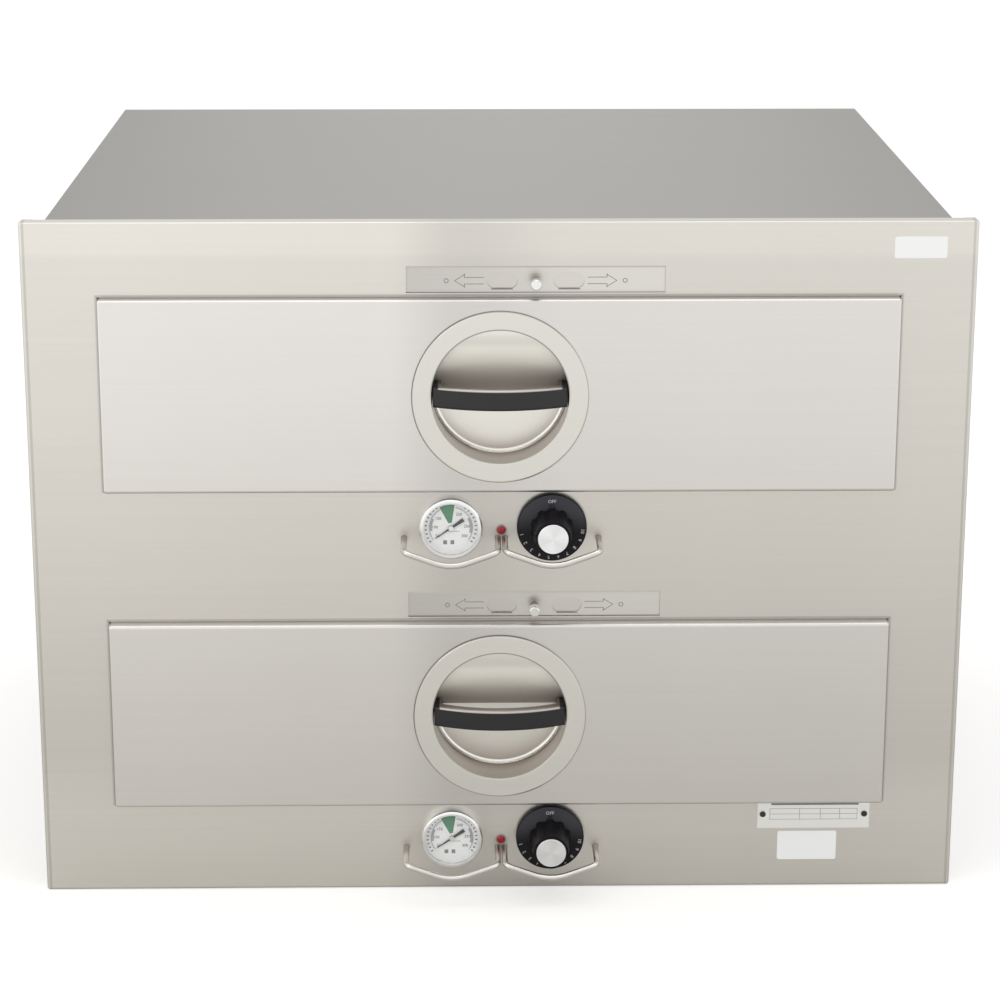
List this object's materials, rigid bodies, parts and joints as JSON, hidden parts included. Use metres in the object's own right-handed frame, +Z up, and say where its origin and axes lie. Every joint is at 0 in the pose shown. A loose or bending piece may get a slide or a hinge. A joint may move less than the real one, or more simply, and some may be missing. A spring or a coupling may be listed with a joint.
{
  "type": "built-in warming drawer",
  "caption": "Built-in food warming cabinet in brushed steel with sliding drawers, round recessed pulls, vent dampers, gauges, knobs and wire guards.",
  "frame": {"origin": "middle of the whole object's base, at the level that it rests on", "axes": "+X to the viewer's right when facing the drawer fronts, the drawers open towards -Y, +Z up"},
  "size_m": [0.737, 0.5824, 0.5548],
  "materials": {
    "face_steel": "horizontally brushed stainless sheet",
    "drawer_steel": "horizontally brushed stainless sheet",
    "pull_steel": "satin stainless pressing",
    "vent_steel": "brushed stainless strip with etched marks",
    "body_steel": "plain satin steel sheet",
    "liner_steel": "plain mill-finish steel",
    "pan_steel": "bright satin stainless pressing",
    "slide_steel": "zinc plated",
    "clip_steel": "zinc plated",
    "element_sheath": "dark oxidised sheath",
    "insulation": "mineral wool blanket",
    "guard_wire": "bright drawn wire",
    "gauge_metal": "bright satin bezel",
    "dial_white": null,
    "needle_black": "matt black",
    "clear_glass": "clear",
    "lamp_body": "dark plastic",
    "lamp_red": "translucent red",
    "knob_black": "satin black moulding",
    "cap_aluminium": "spun aluminium disc",
    "shaft_steel": "turned steel",
    "thermostat_metal": "plated case",
    "grip_black": "satin black moulding",
    "plate_metal": "satin blank plate",
    "rivet_black": "black",
    "screw_steel": "plated",
    "pin_steel": "turned and polished",
    "block_plastic": "pale thermoset"
  },
  "bodies": {
    "root": {"front_panel": "face_steel", "data_plate": "plate_metal", "data_plate_rivets": "rivet_black", "vent_plates": "face_steel", "cabinet_wrapper": "body_steel", "cabinet_bottom": "body_steel", "back_panel": "body_steel", "terminal_cover": "body_steel", "terminal_block": "block_plastic", "cabinet_screws": "screw_steel", "slide_tracks": "slide_steel", "element_clips": "clip_steel", "gauge_dials": "dial_white", "gauge_lenses": "clear_glass", "pilot_lamp_bodies": "lamp_body", "pilot_lamp_lenses": "lamp_red", "upper_liner": "liner_steel", "upper_insulation": "insulation", "upper_heating_element": "element_sheath", "upper_gauge_case": "gauge_metal", "upper_thermostat": "thermostat_metal", "upper_wire_guards": "guard_wire", "lower_liner": "liner_steel", "lower_insulation": "insulation", "lower_heating_element": "element_sheath", "lower_gauge_case": "gauge_metal", "lower_thermostat": "thermostat_metal", "lower_wire_guards": "guard_wire"},
    "upper_drawer": {"upper_drawer_skin": "drawer_steel", "upper_drawer_cover": "liner_steel", "upper_drawer_insulation": "insulation", "upper_drawer_frame": "liner_steel", "upper_pull_ring": "pull_steel", "upper_pull_dish": "pull_steel", "upper_grip": "grip_black", "upper_pan": "pan_steel", "upper_slide_inners": "slide_steel"},
    "upper_slide_middles": {"upper_slide_middles": "slide_steel"},
    "upper_vent": {"upper_vent_slide": "vent_steel", "upper_vent_pin": "pin_steel"},
    "upper_knob": {"upper_knob": "knob_black", "upper_knob_cap": "cap_aluminium", "upper_thermostat_shaft": "shaft_steel"},
    "upper_needle": {"upper_gauge_needle": "needle_black"},
    "lower_drawer": {"lower_drawer_skin": "drawer_steel", "lower_drawer_cover": "liner_steel", "lower_drawer_insulation": "insulation", "lower_drawer_frame": "liner_steel", "lower_pull_ring": "pull_steel", "lower_pull_dish": "pull_steel", "lower_grip": "grip_black", "lower_pan": "pan_steel", "lower_slide_inners": "slide_steel"},
    "lower_slide_middles": {"lower_slide_middles": "slide_steel"},
    "lower_vent": {"lower_vent_slide": "vent_steel", "lower_vent_pin": "pin_steel"},
    "lower_knob": {"lower_knob": "knob_black", "lower_knob_cap": "cap_aluminium", "lower_thermostat_shaft": "shaft_steel"},
    "lower_needle": {"lower_gauge_needle": "needle_black"}
  },
  "joints": [
    {"name": "upper_drawer_slide", "type": "slide", "parent": "root", "child": "upper_drawer", "axis": [0, -1, 0], "range_m": [0, 0.38]},
    {"name": "upper_slide_middle_travel", "type": "slide", "parent": "root", "child": "upper_slide_middles", "axis": [0, -1, 0], "range_m": [0, 0.19]},
    {"name": "upper_vent_travel", "type": "slide", "parent": "root", "child": "upper_vent", "axis": [1, 0, 0], "range_m": [-0.014, 0.014]},
    {"name": "upper_knob_turn", "type": "hinge", "parent": "root", "child": "upper_knob", "pos_m": [0.041, -0.2538, 0.3099], "axis": [0, 1, 0], "range_deg": [0, 300]},
    {"name": "upper_needle_turn", "type": "hinge", "parent": "root", "child": "upper_needle", "pos_m": [-0.0385, -0.2538, 0.3099], "axis": [0, 1, 0], "range_deg": [0, 250]},
    {"name": "lower_drawer_slide", "type": "slide", "parent": "root", "child": "lower_drawer", "axis": [0, -1, 0], "range_m": [0, 0.38]},
    {"name": "lower_slide_middle_travel", "type": "slide", "parent": "root", "child": "lower_slide_middles", "axis": [0, -1, 0], "range_m": [0, 0.19]},
    {"name": "lower_vent_travel", "type": "slide", "parent": "root", "child": "lower_vent", "axis": [1, 0, 0], "range_m": [-0.014, 0.014]},
    {"name": "lower_knob_turn", "type": "hinge", "parent": "root", "child": "lower_knob", "pos_m": [0.041, -0.2538, 0.0455], "axis": [0, 1, 0], "range_deg": [0, 300]},
    {"name": "lower_needle_turn", "type": "hinge", "parent": "root", "child": "lower_needle", "pos_m": [-0.0385, -0.2538, 0.0455], "axis": [0, 1, 0], "range_deg": [0, 250]}
  ],
  "couplings": [
    {"joint": "upper_slide_middle_travel", "follows": "upper_drawer_slide", "ratio": 0.5},
    {"joint": "lower_slide_middle_travel", "follows": "lower_drawer_slide", "ratio": 0.5}
  ]
}
